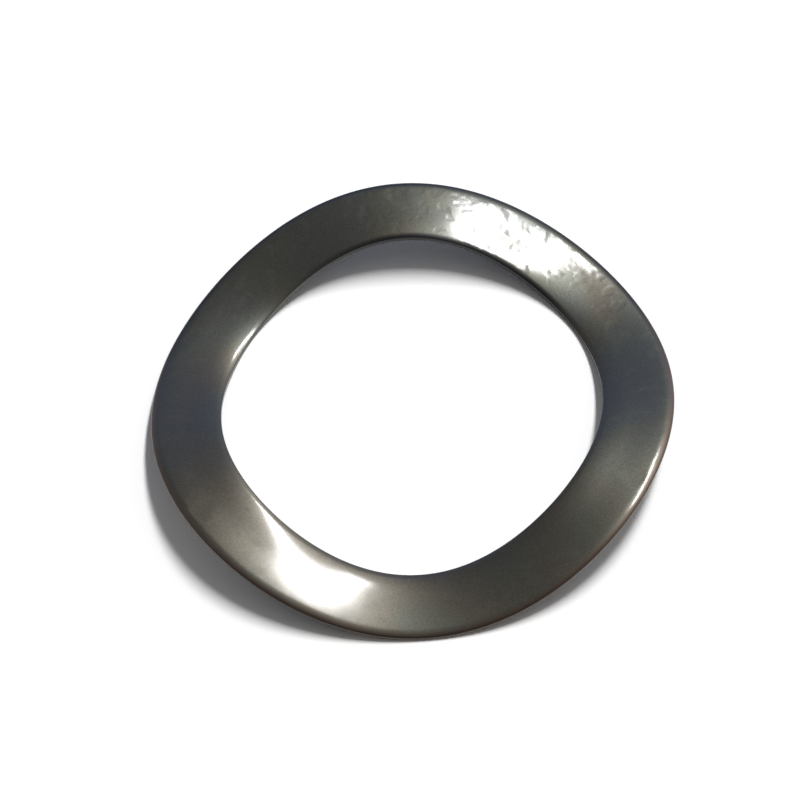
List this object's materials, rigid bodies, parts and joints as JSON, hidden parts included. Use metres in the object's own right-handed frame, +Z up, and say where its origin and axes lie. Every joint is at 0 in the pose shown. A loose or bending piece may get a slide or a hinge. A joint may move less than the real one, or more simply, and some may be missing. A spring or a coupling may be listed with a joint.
{
  "type": "wave spring washer",
  "caption": "Closed ring of thin spring steel pressed into even waves round its axis, with a round bore and tumbled edges. It takes up end play and preloads a bearing.",
  "frame": {"origin": "on the axis of the bore, in the plane that the troughs rest on", "axes": "+Z up along the bore axis, +Y through a crest"},
  "size_m": [0.0254, 0.0254, 0.0022],
  "materials": {
    "spring_steel": "dark grey, tumbled, semi-gloss"
  },
  "bodies": {
    "root": {"wave_washer": "spring_steel"}
  },
  "joints": []
}
